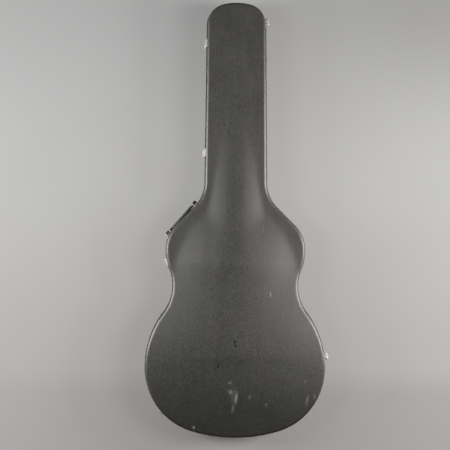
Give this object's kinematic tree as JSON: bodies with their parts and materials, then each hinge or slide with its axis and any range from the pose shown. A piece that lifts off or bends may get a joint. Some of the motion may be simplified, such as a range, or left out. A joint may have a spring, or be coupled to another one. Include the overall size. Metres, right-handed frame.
{
  "type": "guitar case",
  "caption": "Hard-shell guitar case with an arched lid, hinged along one side, draw latches and a carrying handle on the other, plush lining, neck rest and pocket.",
  "frame": {"origin": "on the back face, on the centre line, half way along the length", "axes": "+Y towards the head, +Z out of the back towards the lid, +X towards the hinges; the case lies on its back"},
  "size_m": [0.471, 1.11, 0.1422],
  "materials": {
    "vinyl": "black grained vinyl over plywood, worn satin",
    "binding": "black moulded edge binding",
    "plywood": "bent plywood, unfinished",
    "plush": "short crimson plush",
    "nickel": "nickel plate, slightly dulled",
    "grip": "smooth black moulded handle"
  },
  "bodies": {
    "case_body": {"body_rim_left": "plywood", "body_rim_right": "plywood", "back_panel": "plywood", "back_cover": "vinyl", "body_side_cover": "vinyl", "body_binding": "binding", "body_lining": "plush", "bottom_pad": "plush", "dust_lip": "plush", "neck_rest": "plush", "pocket_wall_body": "plush", "pocket_wall_head": "plush", "latch_pins": "nickel", "latch_rivets": "nickel", "handle_bracket_upper": "nickel", "handle_bracket_lower": "nickel", "handle_pins": "nickel", "hinge_pins": "nickel", "hinge_body_rivets": "nickel", "latch_head_plate": "nickel", "latch_neck_plate": "nickel", "latch_upper_plate": "nickel", "latch_tail_plate": "nickel", "hinge_lower_body_leaf": "nickel", "hinge_head_body_leaf": "nickel"},
    "lid": {"lid_rim_left": "plywood", "lid_rim_right": "plywood", "lid_panel": "plywood", "lid_cover": "vinyl", "lid_side_cover": "vinyl", "lid_binding": "binding", "lid_lining": "plush", "catch_rivets": "nickel", "hinge_lid_rivets": "nickel", "latch_head_catch": "nickel", "latch_neck_catch": "nickel", "latch_upper_catch": "nickel", "latch_tail_catch": "nickel", "hinge_lower_lid_leaf": "nickel", "hinge_head_lid_leaf": "nickel"},
    "handle": {"handle_core": "grip", "handle_grip": "grip"},
    "pocket_lid": {"pocket_lid": "plush", "pocket_tab": "vinyl"},
    "latch_head_lever": {"latch_head_lever": "nickel"},
    "latch_head_bail": {"latch_head_bail": "nickel"},
    "latch_neck_lever": {"latch_neck_lever": "nickel"},
    "latch_neck_bail": {"latch_neck_bail": "nickel"},
    "latch_upper_lever": {"latch_upper_lever": "nickel"},
    "latch_upper_bail": {"latch_upper_bail": "nickel"},
    "latch_tail_lever": {"latch_tail_lever": "nickel"},
    "latch_tail_bail": {"latch_tail_bail": "nickel"}
  },
  "joints": [
    {"name": "lid_open", "type": "hinge", "parent": "case_body", "child": "lid", "pos_m": [0.23445, -0.34795, 0.088], "axis": [-0.1778, 0.9841, 0], "range_deg": [0, 105]},
    {"name": "latch_head_open", "type": "hinge", "parent": "case_body", "child": "latch_head_lever", "pos_m": [-0.07961, 0.45105, 0.074], "axis": [0.0101, 0.9999, 0], "range_deg": [0, 115]},
    {"name": "bail_head_swing", "type": "hinge", "parent": "latch_head_lever", "child": "latch_head_bail", "pos_m": [-0.07839, 0.45104, 0.06711], "axis": [0.0101, 0.9999, 0], "range_deg": [-98.3, 0.5]},
    {"name": "latch_neck_open", "type": "hinge", "parent": "case_body", "child": "latch_neck_lever", "pos_m": [-0.08243, 0.17205, 0.074], "axis": [0.0101, 0.9999, 0], "range_deg": [0, 115]},
    {"name": "bail_neck_swing", "type": "hinge", "parent": "latch_neck_lever", "child": "latch_neck_bail", "pos_m": [-0.08122, 0.17204, 0.06711], "axis": [0.0101, 0.9999, 0], "range_deg": [-98.3, 0.5]},
    {"name": "latch_upper_open", "type": "hinge", "parent": "case_body", "child": "latch_upper_lever", "pos_m": [-0.17756, -0.11051, 0.074], "axis": [-0.2436, 0.9699, 0], "range_deg": [0, 115]},
    {"name": "bail_upper_swing", "type": "hinge", "parent": "latch_upper_lever", "child": "latch_upper_bail", "pos_m": [-0.17638, -0.11021, 0.06711], "axis": [-0.2436, 0.9699, 0], "range_deg": [-98.3, 0.5]},
    {"name": "latch_tail_open", "type": "hinge", "parent": "case_body", "child": "latch_tail_lever", "pos_m": [-0.18835, -0.494, 0.074], "axis": [-0.6794, 0.7337, 0], "range_deg": [0, 115]},
    {"name": "bail_tail_swing", "type": "hinge", "parent": "latch_tail_lever", "child": "latch_tail_bail", "pos_m": [-0.18746, -0.49318, 0.06711], "axis": [-0.6794, 0.7337, 0], "range_deg": [-98.3, 0.5]},
    {"name": "handle_swing", "type": "hinge", "parent": "case_body", "child": "handle", "pos_m": [-0.14057, 0.00515, 0.052], "axis": [0.6588, 0.7523, 0], "range_deg": [0, 150]},
    {"name": "pocket_lid_open", "type": "hinge", "parent": "case_body", "child": "pocket_lid", "pos_m": [0, 0.153, 0.0384], "axis": [-1, 0, 0], "range_deg": [0, 92]}
  ],
  "couplings": [
    {"joint": "bail_head_swing", "follows": "latch_head_open", "ratio": -0.85},
    {"joint": "bail_neck_swing", "follows": "latch_neck_open", "ratio": -0.85},
    {"joint": "bail_upper_swing", "follows": "latch_upper_open", "ratio": -0.85},
    {"joint": "bail_tail_swing", "follows": "latch_tail_open", "ratio": -0.85}
  ]
}
